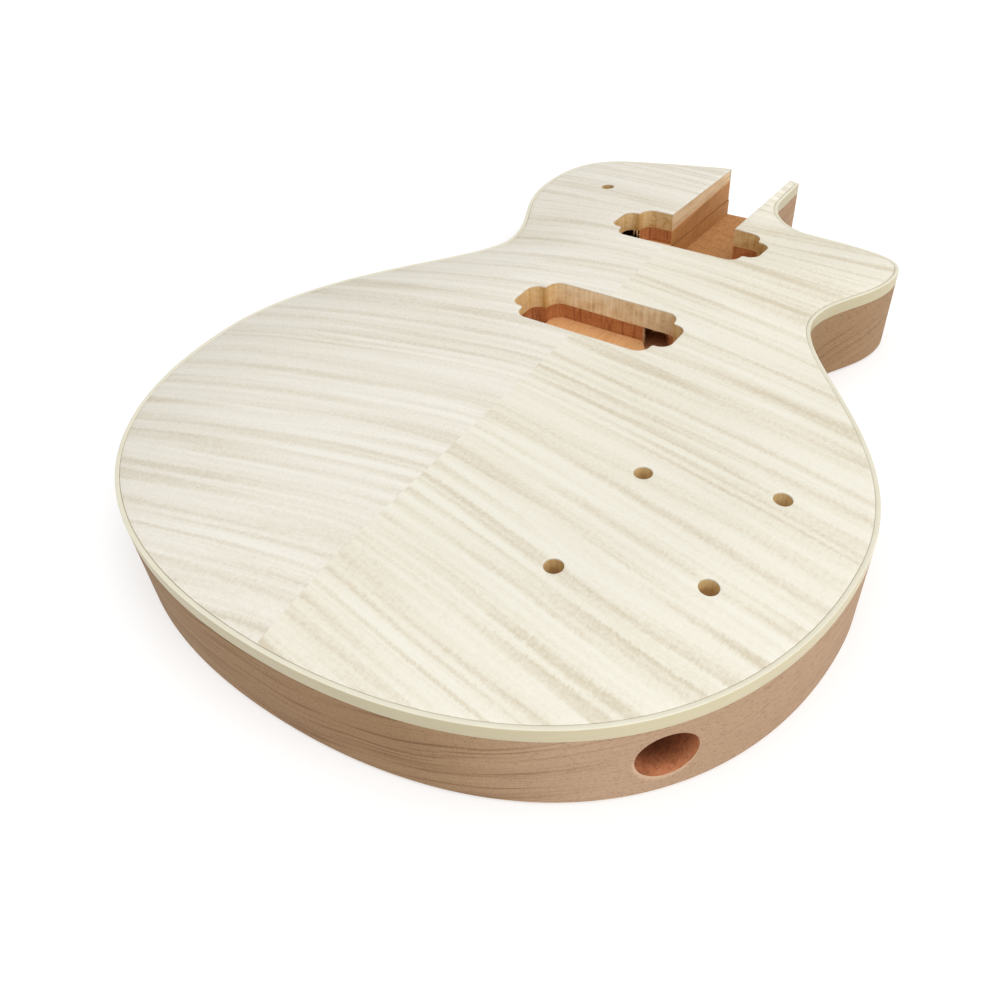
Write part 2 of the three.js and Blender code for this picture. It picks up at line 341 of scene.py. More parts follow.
def raw_height(points):
    """The CAD source's arch."""
    x, y = points.T
    inside = signed_inside(np.stack([x, np.minimum(y, ARCH_END_Y)], 1), inner_outline)
    band = np.clip(np.abs(inside) + past_pocket(x, y), BINDING_WIDTH, CARVE_WIDTH)
    share = np.clip(inside / band, -1, 1)
    neck_flat = NECK_FLAT_RISE + (POCKET_MIDDLE_Y - y) * TILT
    return RIM_HEIGHT + np.minimum(CROWN_RISE, neck_flat) * np.sin(share * math.pi / 2)


FIELD_LOW = -SIZE - FIELD_MARGIN
FIELD_COUNT = ((-2 * FIELD_LOW) / FIELD_STEP).astype(int) + 1


def blurred(field, width):
    """A table smoothed with a bell curve, given in its cells."""
    reach = int(3 * width)
    weights = np.exp(-0.5 * (np.arange(-reach, reach + 1) / width) ** 2)
    weights /= weights.sum()
    for axis in (0, 1):
        padded = np.pad(field, [(reach, reach) if a == axis else (0, 0) for a in (0, 1)], "edge")
        field = sum(w * np.take(padded, range(i, i + field.shape[axis]), axis)
                    for i, w in enumerate(weights))
    return field


def height_field():
    """The arch on a grid: smoothed, but true along the binding and the pocket."""
    xs, ys = (low + FIELD_STEP * np.arange(count) for low, count in zip(FIELD_LOW, FIELD_COUNT))
    grid = np.stack(np.meshgrid(xs, ys, indexing="ij"), -1).reshape(-1, 2)
    raw = raw_height(grid)
    keep = np.clip(signed_inside(grid, inner_outline) / ARCH_KEEP_EDGE, 0, 1)
    keep *= np.clip(past_pocket(*grid.T) / ARCH_KEEP_POCKET, 0, 1)
    soft = blurred(raw.reshape(FIELD_COUNT), ARCH_BLUR).ravel()
    return (raw + (soft - raw) * keep).reshape(FIELD_COUNT)


field = height_field()


def top_height(points):
    """The arch, read from the smoothed field between its nodes."""
    place = (np.asarray(points) - FIELD_LOW) / FIELD_STEP
    cell = np.clip(place.astype(int), 0, np.array(field.shape) - 2)
    u, v = (place - cell).T
    i, j = cell.T
    return ((1 - u) * (1 - v) * field[i, j] + u * (1 - v) * field[i + 1, j]
            + (1 - u) * v * field[i, j + 1] + u * v * field[i + 1, j + 1])


# Meshes
def add_object(name, data):
    """A new object in the scene."""
    made = bpy.data.objects.new(name, data)
    scene.collection.objects.link(made)
    return made


def add_piece(name, points, faces, materials, sharp=35.0, choose=None):
    """A mesh object from points in millimetres."""
    mesh = bpy.data.meshes.new(name)
    mesh.from_pydata((np.asarray(points, float) * MM).tolist(), [], faces)
    for material in materials:
        mesh.materials.append(material)
    mesh.validate()
    if choose is not None:
        mesh.polygons.foreach_set("material_index", choose)
    mesh.shade_smooth()
    mesh.set_sharp_from_angle(angle=math.radians(sharp))
    mesh.update()
    return add_object(name, mesh)


def triangulate(loops, line, loose):
    """A constrained triangulation of closed loops, an open line and loose points."""
    coords, edges = [], []
    for points, closed in [(loop, True) for loop in loops] + [(line, False)]:
        first, count = len(coords), len(points)
        coords += [Vector(p) for p in points.tolist()]
        edges += [(first + i, first + (i + 1) % count) for i in range(count - (not closed))]
    coords += [Vector(p) for p in loose.tolist()]
    made = delaunay_2d_cdt(coords, edges, [], 0, 1e-4, False)
    return np.array([p[:] for p in made[0]]), np.array(made[2])


def slab_mesh(places, triangles, low, high):
    """A closed solid between two heights over some triangles of a triangulation."""
    corners = places[triangles]
    area = np.cross(corners[:, 1] - corners[:, 0], corners[:, 2] - corners[:, 0])
    triangles = np.where((area < 0)[:, None], triangles[:, ::-1], triangles)
    used, flat = np.unique(triangles, return_inverse=True)
    flat = flat.reshape(triangles.shape)
    count = len(used)
    top = np.column_stack([places[used], high[used]])
    bottom = np.column_stack([places[used], low[used]])
    sides = np.concatenate([flat[:, [0, 1]], flat[:, [1, 2]], flat[:, [2, 0]]]).tolist()
    known = {tuple(s) for s in sides}
    border = [s for s in sides if (s[1], s[0]) not in known]
    faces = flat.tolist() + (flat[:, ::-1] + count).tolist()
    faces += [(b, a, a + count, b + count) for a, b in border]
    return np.concatenate([top, bottom]), faces


def rounding(distance, radius):
    """How far a rounded edge has dropped at a distance from the edge."""
    share = np.clip(1 - distance / radius, 0, 1)
    return radius * (1 - np.sqrt(1 - share ** 2))


def seam_points(seam, step):
    """Points along a seam, past both ends of the body."""
    ys = np.arange(-HALF_LENGTH - SEAM_OVERRUN, HALF_LENGTH + SEAM_OVERRUN, step)
    return np.stack([seam(ys), ys], 1)


def loose_points(loops, seam, cell, clearance):
    """Staggered points that fill a sheet, clear of its edges and its seam."""
    span = np.abs(loops[0]).max(0) + cell
    xs, ys = (np.arange(-s, s, cell) + CELL_SHIFT * cell for s in span)
    grid = np.stack(np.meshgrid(xs, ys), -1).reshape(-1, 2)
    grid[:, 0] += np.where((grid[:, 1] / cell).astype(int) % 2, 0.5 * cell, 0)
    away = np.min([segment_distance(grid, loop) for loop in loops], 0)
    clear = away > CELL_CLEARANCE * cell + clearance
    return grid[clear & (np.abs(grid[:, 0] - seam(grid[:, 1])) > 0.5 * cell)]


def sheet(names, outer, holes, seam, cell, high, low, looks, radius=0.0, low_radius=0.0):
    """A sheet with rounded edges over the plan inside outer and outside holes, split at a seam."""
    loops = [outer] + holes
    largest = max(radius, low_radius)
    rings = [offset(loop, share * largest) for loop in loops for share in ROUND_SHARES]
    places, triangles = triangulate(rings, seam_points(seam, cell),
                                    loose_points(loops, seam, cell, largest))
    middles = places[triangles].mean(1)
    solid = is_inside(middles, outer)
    for hole in holes:
        solid &= ~is_inside(middles, hole)
    triangles, middles = triangles[solid], middles[solid]
    edge = np.min([segment_distance(places, loop) for loop in loops], 0)
    top, bottom = high(places), low(places)
    if radius:
        top = top - rounding(edge, radius)
    if low_radius:
        bottom = bottom + rounding(edge, low_radius)
    on_bass = middles[:, 0] < seam(middles[:, 1])
    return [add_piece(name, *slab_mesh(places, triangles[chosen], bottom, top), [look])
            for name, chosen, look in zip(names, (on_bass, ~on_bass), looks)]


# Materials
def linear(*screen):
    """A colour given in 0 to 255 screen values, for a shader."""
    shares = [c / 255 for c in screen]
    return tuple(c / 12.92 if c <= 0.04045 else ((c + 0.055) / 1.055) ** 2.4 for c in shares)


class Graph:
    """A node tree and short ways to add nodes to it."""

    def __init__(self, tree):
        self.tree = tree

    def node(self, kind, **settings):
        made = self.tree.nodes.new(kind)
        for key, value in settings.items():
            setattr(made, key, value)
        return made

    def put(self, socket, value):
        if isinstance(value, bpy.types.NodeSocket):
            self.tree.links.new(value, socket)
        elif socket.type == "RGBA" and len(value) == 3:
            socket.default_value = (*value, 1)
        else:
            socket.default_value = value

    def fill(self, made, *values):
        """Sets a node's first sockets, in their order."""
        for socket, value in zip(made.inputs, values):
            self.put(socket, value)
        return made.outputs[0]

    def feed(self, made, values):
        """Sets a node's sockets by their names."""
        for name, value in values.items():
            self.put(made.inputs[name], value)
        return made.outputs[0]

    def math(self, operation, a, b=0.0, clamp=False):
        return self.fill(self.node("ShaderNodeMath", operation=operation, use_clamp=clamp), a, b)

    def plus(self, total, *others):
        for other in others:
            total = self.math("ADD", total, other)
        return total

    def times(self, product, *others):
        for other in others:
            product = self.math("MULTIPLY", product, other)
        return product

    def minus(self, a, b):
        return self.math("SUBTRACT", a, b)

    def over(self, a, b):
        return self.math("DIVIDE", a, b)

    def swing(self, value, size):
        """A value about a half, made into one about nought."""
        return self.times(self.minus(value, 0.5), size)

    def stretch(self, value, low, high, to_low=0.0, to_high=1.0, smooth=True):
        kind = "SMOOTHSTEP" if smooth else "LINEAR"
        made = self.node("ShaderNodeMapRange", interpolation_type=kind)
        return self.fill(made, value, low, high, to_low, to_high)

    def join(self, x, y, z):
        return self.fill(self.node("ShaderNodeCombineXYZ"), x, y, z)

    def grey(self, share):
        return self.join(share, share, share)

    def split(self, vector):
        made = self.node("ShaderNodeSeparateXYZ")
        self.put(made.inputs[0], vector)
        return tuple(made.outputs)


class Look(Graph):
    """A material with one main shader."""

    def __init__(self, name):
        self.material = bpy.data.materials.new(name)
        self.material.use_nodes = True
        super().__init__(self.material.node_tree)
        self.tree.nodes.clear()
        self.shader = self.node("ShaderNodeBsdfPrincipled")
        output = self.node("ShaderNodeOutputMaterial")
        self.tree.links.new(self.shader.outputs[0], output.inputs["Surface"])
        self.place = self.node("ShaderNodeTexCoord").outputs["Object"]

    def scaled(self, scale, turn=0.0, move=0.0):
        """The place times a scale, first turned about Z and then moved along X."""
        return self.feed(self.node("ShaderNodeMapping", vector_type="POINT"), {
            "Vector": self.place, "Scale": scale, "Rotation": (0, 0, turn), "Location": (move, 0, 0)})

    def place_mm(self, turn=0.0, move=0.0):
        return self.split(self.scaled((1 / MM, 1 / MM, 1 / MM), turn, move))

    def noise(self, vector, detail, roughness=0.5):
        return self.feed(self.node("ShaderNodeTexNoise"), {
            "Vector": vector, "Scale": 1.0, "Detail": detail, "Roughness": roughness})

    def grain(self, scale, detail, roughness=0.5):
        """Noise with so many cells to a metre along each axis."""
        return self.noise(self.scaled(scale), detail, roughness)

    def drawn(self, u, u_size, v, v_size, w, detail, roughness=0.5):
        """Noise with cells of u_size by v_size."""
        return self.noise(self.join(self.over(u, u_size), self.over(v, v_size), w), detail, roughness)

    def ramp(self, value, places, colours):
        made = self.node("ShaderNodeValToRGB")
        self.put(made.inputs[0], value)
        elements = made.color_ramp.elements
        while len(elements) < len(places):
            elements.new(0.5)
        for element, place, colour in zip(elements, places, colours):
            element.position = place
            element.color = (*colour, 1)
        return made.outputs[0]

    def mix(self, share, a, b, blend="MIX"):
        made = self.node("ShaderNodeMix", data_type="RGBA", blend_type=blend)
        self.put(made.inputs[0], share)
        self.put(made.inputs[6], a)
        self.put(made.inputs[7], b)
        return made.outputs[2]

    def shaded(self, colour, shade):
        return self.mix(1.0, colour, shade, "MULTIPLY")

    def bump(self, height, strength, distance):
        normal = self.feed(self.node("ShaderNodeBump"), {
            "Strength": strength, "Distance": distance, "Height": height})
        self.put(self.shader.inputs["Normal"], normal)

    def finish(self, colour, roughness, specular):
        self.feed(self.shader, {
            "Base Color": colour, "Roughness": roughness, "Specular IOR Level": specular})
        return self.material


BUMP_DEPTH = 0.0002
CAP_BROWN = (0.8, 0.67, 0.46)
CAP_PINK = (0.93, 0.86, 0.86)
CAP_TONES = [linear(253, 242, 211), linear(240, 221, 182), linear(214, 188, 144)]
# The binding's top and side tones are lit and shaded copies of one cream: painted light and painted
# shade.
BINDING_LIT_TOP_TONES = [linear(226, 221, 202), linear(218, 212, 190)]
BINDING_SHADED_SIDE_TONES = [linear(206, 195, 161), linear(196, 184, 149)]
JACK_LIP = linear(212, 178, 146)


def flame_level(g, out, along, height, comb, seed, shift, slope, spread, bend):
    """A place's level among the flame's stripes: a stripe runs where it stays the same."""
    near_seam = g.math("EXPONENT", g.over(out, -22.0))
    drop = g.times(out, g.plus(slope, g.times(out, spread)))
    drop = g.minus(drop, g.times(g.minus(1.0, near_seam), bend))
    fan = g.plus(g.stretch(along, -130.0, -50.0, 0.0, 0.06, False),
                 g.stretch(along, 60.0, 165.0, 0.0, 0.27, False))
    level = g.plus(along, g.minus(drop, g.times(out, fan)))
    level = g.plus(level, g.plus(g.times(height, 1.1), shift))
    uneven = g.noise(g.join(0.4, g.over(level, 30.0), 0.3), 1.0)
    level = g.plus(level, g.swing(uneven, 16.0))
    wavy = g.drawn(out, 75.0, level, 24.0, seed, 2.0)
    return g.plus(level, g.swing(wavy, 4.0), g.swing(comb, 2.6))


def flame_stripes(g, out, level):
    """Broad dark bands with pale crests where the flame is strong, and finer stripes between."""
    wide = g.drawn(out, 230.0, level, 6.2, 4.1, 1.0)
    band = g.stretch(wide, 0.46, 0.68)
    crest = g.times(g.stretch(wide, 0.38, 0.44), g.stretch(wide, 0.45, 0.51, 1.0, 0.0))
    where = g.drawn(out, 85.0, level, 10.2, 4.1, 2.0)
    strong = g.stretch(where, 0.36, 0.62, 0.3, 1.0)
    middling = g.drawn(out, 130.0, level, 3.6, 7.7, 0.0)
    fine = g.drawn(out, 60.0, level, 1.5, 2.2, 1.0)
    broad = g.minus(g.times(band, strong, 0.46), g.times(crest, strong, 0.24))
    return g.plus(broad, g.swing(middling, 1.0), g.swing(fine, 0.3))


def flame_material(name, tones, seed, shift, slope, spread, bend, contrast):
    """Bookmatched flame maple. The stripes run across the grain, mirrored about the seam.

    Away from the seam a stripe falls by slope, more with each mm by spread, less near it by bend.
    """
    g = Look(name)
    across, along, height = g.place_mm(-SEAM_TURN, SEAM_MOVE)
    out = g.math("ABSOLUTE", across)
    fibre = g.drawn(across, 0.8, along, 14.0, seed, 3.0, 0.65)
    comb = g.drawn(across, 0.9, along, 5.0, seed + 1, 2.0, 0.6)
    cloud = g.drawn(across, 70.0, along, 50.0, seed, 2.0)
    mottle = g.grain((620, 620, 620), 3.0, 0.75)
    level = flame_level(g, out, along, height, comb, seed, shift, slope, spread, bend)
    tone = g.plus(0.38, g.times(flame_stripes(g, out, level), contrast), g.swing(fibre, 0.42),
                  g.swing(cloud, 0.25), g.swing(mottle, 1.1))
    colour = g.ramp(tone, (0.0, 0.45, 1.0), tones)
    # Painted shade: the bass half darkens towards its far side.
    colour = g.shaded(colour, g.grey(g.stretch(across, -165.0, -10.0, 0.91, 1.0, False)))
    g.bump(g.minus(g.times(fibre, 0.5), g.times(tone, 0.8)), 0.1, BUMP_DEPTH)
    return g.finish(colour, 0.55, 0.25)


def growth_level(g, place, lean, fall):
    """How high a place lies among the growth layers, which slope along X by lean and Y by fall."""
    x, y, z = place
    right = g.math("MAXIMUM", g.plus(x, 80.0), 0.0)
    far = g.math("MAXIMUM", g.minus(y, 40.0), 0.0)
    level = g.plus(z, g.swing(g.grain((9, 3.4, 14), 2.0), 22.0))
    level = g.minus(level, g.times(right, right, 0.0006))
    return g.minus(g.minus(level, g.times(far, fall)), g.times(x, lean))


def rim_painted_shade(g, place):
    """Painted shade on the sanded wood: darker and warmer from the tail to the bass side, and in the
    cutaway.
    """
    x, y, _ = place
    front = g.times(g.stretch(x, 58.0, 126.0, 0.66, 1.0), g.stretch(x, 120.0, 150.0, 1.0, 0.92))
    cutaway = g.stretch(y, -30.0, 50.0, 1.0, 0.78)
    tongue = g.stretch(y, 140.0, 165.0, 0.0, 0.57)
    share = g.times(front, g.plus(cutaway, tongue))
    pale = g.math("MINIMUM", share, 1.0)
    green = g.times(share, g.times(g.math("POWER", pale, 0.22), 1.02))
    blue = g.times(share, g.times(g.math("POWER", pale, 0.8), 1.05))
    return g.join(share, green, blue)


def jack_coords(g, place):
    """How far a place is beside the jack bore's axis, above it, and into the body."""
    x, y, z = place
    mouth, inward = jack_place()
    over, past = g.minus(x, mouth[0]), g.minus(y, mouth[1])
    aside = g.plus(g.times(over, -inward[1]), g.times(past, inward[0]))
    depth = g.plus(g.times(over, inward[0]), g.times(past, inward[1]))
    return aside, g.minus(z, JACK_HEIGHT), depth


def jack_painted_light_and_tear(g, place):
    """Painted shade deep in the bore and along its upper half, warmer where it is darker; low down at its
    mouth, torn fibres with a painted highlight make a ragged pale band.
    """
    aside, up, depth = jack_coords(g, place)
    middle = g.stretch(g.math("ABSOLUTE", aside), 3.0, 11.5, 1.0, 0.35)
    # Painted shade: darker deeper in, along the bore's middle, and higher up.
    bore_shade = g.times(g.stretch(depth, 0.5, 11.0, 0.0, 0.66), middle)
    bore_shade = g.plus(bore_shade, g.stretch(place[2], 16.0, 30.0, 0.0, 0.22))
    # A painted highlight on the lower wall at the mouth, with a ragged edge of torn fibres.
    low = g.plus(g.times(aside, -0.8), g.times(up, -0.6))
    ragged = g.times(g.grain((800, 800, 800), 3.0, 0.7), 9.0)
    torn = g.stretch(g.minus(depth, ragged), -3.5, 1.5, 1.0, 0.0)
    torn = g.times(torn, g.stretch(low, -1.0, 7.0, 0.0, 0.3))
    share = g.plus(g.minus(1.0, bore_shade), torn)
    return g.join(share, g.math("POWER", share, 1.2), g.math("POWER", share, 1.4))


def pocket_shade(g, place):
    """A pale line along the top of the pocket's walls, just under the cap."""
    return g.grey(g.stretch(place[2], 36.7, 37.2, 1.0, 1.5, False))


def router_marks(g, colour, height, chatter, light, dark):
    """Upright marks left by a cutter, and small torn spots, as a colour and a height."""
    marks = g.grain((620, 620, 50), 2.0, 0.65)
    colour = g.mix(g.times(g.stretch(marks, 0.47, 0.66), 0.5 * chatter), colour, dark)
    torn = g.grain((900, 900, 160), 2.0, 0.6)
    colour = g.mix(g.times(g.stretch(torn, 0.6, 0.72), 0.4 * chatter), colour, light)
    return colour, g.plus(height, g.times(marks, chatter))


def torn_lip(g, colour, place):
    """A ragged pale ring round the jack bore's mouth."""
    aside, up, _ = jack_coords(g, place)
    away = g.math("SQRT", g.plus(g.times(aside, aside), g.times(up, up)))
    ragged = g.times(g.grain((700, 700, 700), 2.0), 2.6)
    low_right = g.minus(g.times(aside, 0.03), g.times(up, 0.14))
    edge = g.minus(away, g.plus(ragged, low_right))
    pale = g.stretch(edge, JACK_RADIUS - 1.9, JACK_RADIUS - 0.6, 0.6, 0.0)
    near = g.stretch(away, JACK_RADIUS + 3.0, JACK_RADIUS + 3.2, 1.0, 0.0)
    front = g.stretch(place[1], -150.0, -148.0, 1.0, 0.0)
    return g.mix(g.times(pale, near, front), colour, JACK_LIP)


def mahogany_material(name, light, base, dark, pore_depth=0.6, chatter=0.0, roughness=0.75,
                      lines=1.0, shade=None, lip=False, lean=0.0, fall=0.22):
    """Mahogany: nearly level growth layers and short open pores along the grain."""
    g = Look(name)
    light, base, dark = (linear(*tone) for tone in (light, base, dark))
    place = x, y, _ = g.place_mm()
    level = growth_level(g, place, lean, fall)
    wide = g.drawn(x, 90.0, y, 210.0, g.over(level, 5.5), 2.0)
    thin = g.drawn(x, 60.0, y, 160.0, g.over(level, 1.5), 3.0, 0.6)
    specks = g.grain((900, 60, 900), 3.0, 0.65)
    layers = g.plus(g.swing(wide, 0.8 * lines), g.times(g.stretch(thin, 0.5, 0.68), 0.7 * lines))
    layers = g.times(layers, g.stretch(x, 90.0, 140.0, 1.0, 0.3))
    tone = g.plus(0.3, layers, g.swing(specks, 0.55), g.swing(g.grain((14, 9, 30), 2.0), 0.5))
    colour = g.ramp(tone, (0.0, 0.4, 1.0), (light, base, dark))
    pore = g.stretch(g.grain((1500, 130, 1500), 2.0, 0.6), 0.56, 0.68)
    colour = g.mix(g.times(pore, pore_depth), colour, dark)
    height = g.minus(g.times(specks, 0.5), g.times(pore, 0.8))
    if chatter:
        colour, height = router_marks(g, colour, height, chatter, light, dark)
    if lip:
        colour = torn_lip(g, colour, place)
    if shade:
        colour = g.shaded(colour, shade(g, place))
    g.bump(height, 0.35, BUMP_DEPTH)
    return g.finish(colour, roughness, 0.25)


def burnt_corners(g, burnt, aside, y):
    """Adds the burnt inner corners between the routs and their ears."""
    for rout_y in (BRIDGE_ROUT_Y, NECK_ROUT_Y):
        over = g.minus(aside, ROUT_HALF[0] + 0.4)
        past = g.minus(g.math("ABSOLUTE", g.minus(y, rout_y)), EAR_HALF[1] + 0.4)
        near = g.math("SQRT", g.plus(g.times(over, over), g.times(past, past)))
        burnt = g.math("MAXIMUM", burnt, g.stretch(near, 1.0, 3.0, 0.55, 0.0))
    return burnt


def cap_material(name):
    """Maple cut across by a router. It is browner at the routs' ends and towards the neck."""
    g = Look(name)
    x, y, _ = g.place_mm()
    aside = g.math("ABSOLUTE", x)
    broad = g.grain((90, 60, 200), 3.0, 0.6)
    streaks = g.grain((230, 230, 14), 2.0, 0.6)
    spots = g.grain((420, 420, 330), 3.0, 0.7)
    slot = g.times(g.stretch(y, 136.5, 139.0), g.stretch(aside, 19.6, 19.9, 1.0, 0.0))
    elsewhere = g.minus(1.0, slot)
    marks = g.plus(g.times(g.grain((700, 700, 60), 2.0, 0.6), elsewhere),
                   g.times(g.grain((500, 12, 900), 2.0, 0.6), slot))
    tone = g.plus(g.times(marks, 0.65), g.times(broad, 0.75))
    colour = g.ramp(tone, (0.47, 0.7, 0.93), CAP_TONES)
    blotchy = g.times(g.stretch(y, 60.0, 98.0, 0.3, 0.8), elsewhere)
    burnt = burnt_corners(g, g.times(g.stretch(spots, 0.5, 0.64), blotchy), aside, y)
    colour = g.mix(burnt, colour, g.shaded(colour, CAP_BROWN))
    ends = g.math("MAXIMUM", g.stretch(aside, 29.0, 37.0, 0.0, 0.85),
                  g.stretch(y, 60.0, 98.0, 0.0, 0.85))
    brown = g.math("ADD", ends, g.stretch(streaks, 0.52, 0.7, 0.0, 0.22), True)
    brown = g.times(brown, g.minus(1.0, g.times(slot, 0.6)))
    colour = g.mix(brown, colour, g.shaded(colour, CAP_BROWN))
    colour = g.mix(slot, colour, g.shaded(colour, CAP_PINK))
    g.bump(g.plus(marks, broad), 0.4, BUMP_DEPTH)
    return g.finish(colour, 0.7, 0.25)


def binding_material(name):
    """Cream plastic with faint scraper marks round its side. The top takes paler tones as painted light
    and the side darker ones as painted shade, darkest just treble of the middle.
    """
    g = Look(name)
    scrape = g.grain((60, 60, 1500), 2.0, 0.6)
    tone = g.plus(g.times(g.grain((35, 35, 60), 2.0), 0.6), g.times(scrape, 0.4))
    top = g.ramp(tone, (0.3, 0.7), BINDING_LIT_TOP_TONES)
    side = g.ramp(tone, (0.3, 0.7), BINDING_SHADED_SIDE_TONES)
    x, _, _ = g.place_mm()
    # Painted shade on the binding's side, darkest just treble of the middle and fading towards the treble
    # side.
    shade = g.plus(g.stretch(x, 60.0, 150.0, 0.84, 1.0), g.stretch(x, -120.0, 20.0, 0.1, 0.0))
    _, _, facing = g.split(g.node("ShaderNodeTexCoord").outputs["Normal"])
    # Upward faces take the lit top tones, the rest the shaded side tones.
    colour = g.mix(g.stretch(facing, 0.1, 0.8), g.shaded(side, g.grey(shade)), top)
    g.bump(scrape, 0.08, 0.5 * BUMP_DEPTH)
    return g.finish(colour, 0.42, 0.4)


# The bass half's tones are greyer and cooler than the treble half's: a painted sheen difference between
# the bookmatched halves.
veneer_bass_look = flame_material(
    "veneer_bass_wood", (linear(233, 229, 218), linear(225, 219, 205), linear(207, 198, 179)),
    seed=3.0, shift=0.0, slope=0.22, spread=0.00045, bend=3.08, contrast=0.85)
veneer_treble_look = flame_material(
    "veneer_treble_wood", (linear(232, 228, 214), linear(225, 219, 202), linear(207, 197, 174)),
    seed=9.0, shift=4.5, slope=0.215, spread=0.0002, bend=0.6, contrast=1.05)
cap_look = cap_material("maple_cut_by_router")
binding_look = binding_material("cream_binding")
fibre_look = mahogany_material("torn_fibres", (226, 192, 150), (208, 168, 124), (170, 126, 86),
                               pore_depth=0.2, roughness=0.9, lines=0.2)

# The back's looks, in the order of their numbers
RIM, ROUT, ROUT_FLOOR_FACE, BORE, POCKET, POCKET_FLOOR, CHANNEL, VOID_SHADE, LEDGE, UNDERSIDE = range(10)
SANDED_TONES = ((192, 161, 132), (178, 145, 116), (140, 106, 78))
# Each row: a name, its light, base and dark tones, then pore depth, chatter, roughness and lines
BACK_ROWS = [
    # The sanded rim carries the rim's painted shade.
    ("sanded", SANDED_TONES, (0.6, 0.0, 0.75, 0.75), {"shade": rim_painted_shade, "lip": True}),
    # The routed walls are darker and redder than the rout floors: partly the fresh-cut wood's own tone,
    # partly painted shade.
    ("routed", ((206, 146, 96), (186, 122, 74), (132, 72, 38)), (0.6, 1.2, 0.8, 0.4), {}),
    ("rout_floor", ((222, 174, 122), (210, 158, 106), (166, 108, 66)), (0.4, 0.0, 0.8, 0.3), {}),
    # The jack bore carries painted shade and a painted highlight.
    ("bored", ((204, 142, 102), (188, 118, 78), (140, 76, 46)), (0.4, 0.9, 0.8, 0.3),
     {"shade": jack_painted_light_and_tear}),
    ("pocket", ((200, 150, 97), (186, 134, 80), (147, 95, 52)), (0.5, 0.5, 0.7, 0.35),
     {"shade": pocket_shade}),
    ("pocket_floor", ((206, 154, 100), (190, 138, 86), (140, 92, 52)), (0.5, 0.9, 0.7, 0.35), {}),
    # Painted light: the covered wire channel's wood is paler than the light reaching it would make it.
    ("channel", ((214, 164, 118), (196, 136, 92), (140, 82, 50)), (0.4, 0.7, 0.85, 0.4), {}),
    # Near-black wood as painted shade, in the neck rout's bass ear and along the wire channel's neck end.
    ("void_shade", ((104, 66, 46), (78, 46, 30), (46, 26, 18)), (0.6, 1.0, 0.85, 0.4), {}),
    # A painted shadow: dark wood on the tenon ledge, standing in for a shaded gap.
    ("ledge", ((150, 100, 60), (126, 80, 46), (92, 54, 30)), (0.6, 1.0, 0.85, 0.4), {}),
    # The underside carries the rim's painted shade too, so that the rounded edge matches.
    ("underside", SANDED_TONES, (0.6, 0.0, 0.75, 0.75),
     {"shade": rim_painted_shade, "lean": 0.3, "fall": 0.03}),
]
back_looks = [mahogany_material("mahogany_" + name, *tones, *settings, **more)
              for name, tones, settings, more in BACK_ROWS]


# The wood sheets and the binding
def straight_seam(y):
    return np.zeros_like(np.asarray(y, float))


def veneer_seam(y):
    return -SEAM_MOVE - math.tan(SEAM_TURN) * np.asarray(y, float)


def glue_line():
    """The gap along the outline: wider at the bass side and the neck end than at the tail."""
    leftness = np.clip((GLUE_BASS_X - outline[:, 0]) / GLUE_BASS_SPAN, 0, 1)
    farness = np.clip((outline[:, 1] - GLUE_NECK_Y) / GLUE_NECK_SPAN, 0, 1)
    return GLUE_LINE + GLUE_LINE_MORE * np.maximum(leftness, farness)


def board_top(points):
    return np.full(len(points), BACK_TOP)


def cap_top(points):
    return top_height(points) - VENEER


def binding_loop():
    """The band between the outline and the inset outline, without the neck pocket."""
    outer, inner = (beside_pocket(np.concatenate([loop[corner_index + 1:], loop[:corner_index]]))
                    for loop in (outline, inner_outline))
    inner_y = HALF_LENGTH - BINDING_WIDTH
    return clean(np.concatenate([
        [(-POCKET_HALF, HALF_LENGTH)], outer, [POCKET_CORNER],
        [(POCKET_HALF, inner_y)], inner[::-1], [(-POCKET_HALF, inner_y)],
    ]))


def binding_top(points):
    """Level, but across the neck end it follows the arch."""
    x, y = np.asarray(points).T
    at_end = (y > HALF_LENGTH - BINDING_END) & (np.abs(x) < BINDING_RISE_HALF)
    return np.where(at_end, np.maximum(top_height(points), RIM_HEIGHT), RIM_HEIGHT)


holes = [densify(rout_loop(BRIDGE_ROUT_Y))] + [circle_loop(p, SHAFT_RADIUS) for p in POTS + [SWITCH]]
veneers = sheet(("veneer_bass_sheet", "veneer_treble_sheet"), open_outline(BINDING_WIDTH + glue_line()),
                holes, veneer_seam, VENEER_CELL, top_height, cap_top,
                (veneer_bass_look, veneer_treble_look), VENEER_ROUND)
caps = sheet(("cap_bass_board", "cap_treble_board"), open_outline(BINDING_WIDTH + CAP_GAP),
             holes, straight_seam, CAP_CELL, cap_top, board_top, (cap_look, cap_look),
             low_radius=CAP_LOW_ROUND)
bindings = sheet(("binding_bass_strip", "binding_treble_strip"), binding_loop(),
                 [], straight_seam, BINDING_CELL, binding_top, board_top,
                 (binding_look, binding_look), BINDING_ROUND, BINDING_LOW_ROUND)


# The mahogany back
def stack_mesh(rings):
    """A closed solid from rings of equal count, given as points with heights."""
    count = len(rings[0])
    faces = [tuple(range(count))[::-1]]
    for layer in range(len(rings) - 1):
        low, high = layer * count, (layer + 1) * count
        faces += [(low + i, low + (i + 1) % count, high + (i + 1) % count, high + i)
                  for i in range(count)]
    faces.append(tuple(range((len(rings) - 1) * count, len(rings) * count)))
    return np.concatenate(rings), faces


def ring_at(loop, height):
    """A loop's points, all at one height or each at its own."""
    return np.column_stack([loop, np.broadcast_to(height, len(loop))])


def prism(name, loop, low, high):
    """A cutter: an upright prism over an anticlockwise loop."""
    return add_piece(name, *stack_mesh([ring_at(loop, low), ring_at(loop, high)]), [])


